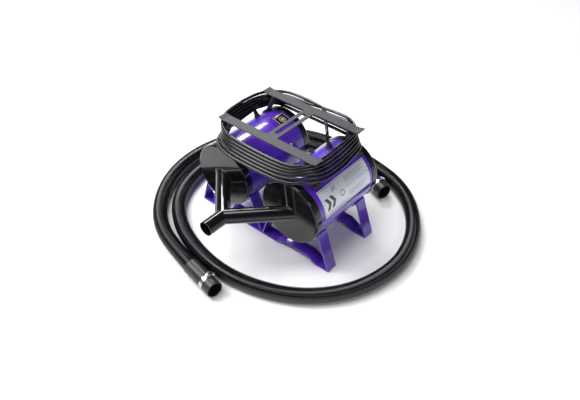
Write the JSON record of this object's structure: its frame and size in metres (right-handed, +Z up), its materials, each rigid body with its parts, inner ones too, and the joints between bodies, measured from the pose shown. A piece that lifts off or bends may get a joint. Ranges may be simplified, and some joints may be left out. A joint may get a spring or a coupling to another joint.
{
  "type": "pet dryer",
  "caption": "Force pet dryer: side-by-side blower cases on strap legs joined to a common outlet, with a cord rack, wound power cords and a long corrugated hose.",
  "frame": {"origin": "on the floor, under the middle of the machine without its hose and cords", "axes": "+Z up, air leaves the outlet towards -Y, the label is on the +X case"},
  "size_m": [0.8834, 0.8252, 0.3395],
  "materials": {
    "purple_paint": "gloss powder coat",
    "black_paint": "gloss enamel",
    "rack_coat": "semi-matte coat",
    "filter_foam": "open-cell foam",
    "switch_plastic": "gloss",
    "rocker_plastic": "gloss",
    "bare_steel": "plain",
    "fan_metal": "zinc plated",
    "impeller_metal": "plain",
    "motor_casting": "cast",
    "core_steel": "laminated",
    "bearing_steel": "polished",
    "gland_rubber": "satin",
    "cord_sheath": "satin",
    "plug_moulding": "satin",
    "gasket_rubber": "matt",
    "carbon": "matt",
    "screw_steel": "zinc plated",
    "label_foil": "satin printed foil",
    "badge_enamel": "gloss",
    "hose_plastic": "corrugated, satin",
    "cuff_rubber": "satin",
    "clamp_steel": "stainless"
  },
  "bodies": {
    "dryer": {"body_tube_left": "purple_paint", "front_cap_left": "black_paint", "rear_cap_left": "black_paint", "duct_left": "black_paint", "air_filter_left": "filter_foam", "switch_body_left": "switch_plastic", "motor_bulkhead_left": "bare_steel", "fan_shell_left": "fan_metal", "motor_frame_left": "motor_casting", "stator_left": "core_steel", "bearings_left": "bearing_steel", "cord_gland_left": "gland_rubber", "power_cord_left": "cord_sheath", "cord_coil_left": "cord_sheath", "plug_left": "plug_moulding", "cradle_strap_front_left": "purple_paint", "rack_post_front_left": "rack_coat", "cradle_strap_rear_left": "purple_paint", "rack_post_rear_left": "rack_coat", "body_tube_right": "purple_paint", "front_cap_right": "black_paint", "rear_cap_right": "black_paint", "duct_right": "black_paint", "air_filter_right": "filter_foam", "switch_body_right": "switch_plastic", "motor_bulkhead_right": "bare_steel", "fan_shell_right": "fan_metal", "motor_frame_right": "motor_casting", "stator_right": "core_steel", "bearings_right": "bearing_steel", "cord_gland_right": "gland_rubber", "power_cord_right": "cord_sheath", "cord_coil_right": "cord_sheath", "plug_right": "plug_moulding", "cradle_strap_front_right": "purple_paint", "rack_post_front_right": "rack_coat", "cradle_strap_rear_right": "purple_paint", "rack_post_rear_right": "rack_coat", "base_strap_front": "purple_paint", "base_strap_rear": "purple_paint", "outlet_pipe": "black_paint", "motor_gaskets": "gasket_rubber", "carbon_brushes": "carbon", "cord_rack": "rack_coat", "post_screws": "screw_steel", "case_screws": "screw_steel", "label_plate": "label_foil", "badge_plate": "badge_enamel", "hose": "hose_plastic", "hose_cuff_outer": "cuff_rubber", "hose_cuff_inner": "cuff_rubber", "hose_clamps": "clamp_steel"},
    "rotor_left": {"armature_left": "core_steel", "impellers_left": "impeller_metal"},
    "rocker_left": {"switch_rocker_left": "rocker_plastic"},
    "rotor_right": {"armature_right": "core_steel", "impellers_right": "impeller_metal"},
    "rocker_right": {"switch_rocker_right": "rocker_plastic"}
  },
  "joints": [
    {"name": "rotor_spin_left", "type": "hinge", "parent": "dryer", "child": "rotor_left", "pos_m": [-0.1303, 0.09962, 0.1745], "axis": [0, 1, 0], "continuous": true},
    {"name": "switch_left", "type": "hinge", "parent": "dryer", "child": "rocker_left", "pos_m": [-0.1303, 0.24392, 0.2545], "axis": [1, 0, 0], "range_deg": [0, 24]},
    {"name": "rotor_spin_right", "type": "hinge", "parent": "dryer", "child": "rotor_right", "pos_m": [0.1303, 0.09962, 0.1745], "axis": [0, 1, 0], "continuous": true},
    {"name": "switch_right", "type": "hinge", "parent": "dryer", "child": "rocker_right", "pos_m": [0.1303, 0.24392, 0.2545], "axis": [1, 0, 0], "range_deg": [0, 24]}
  ]
}
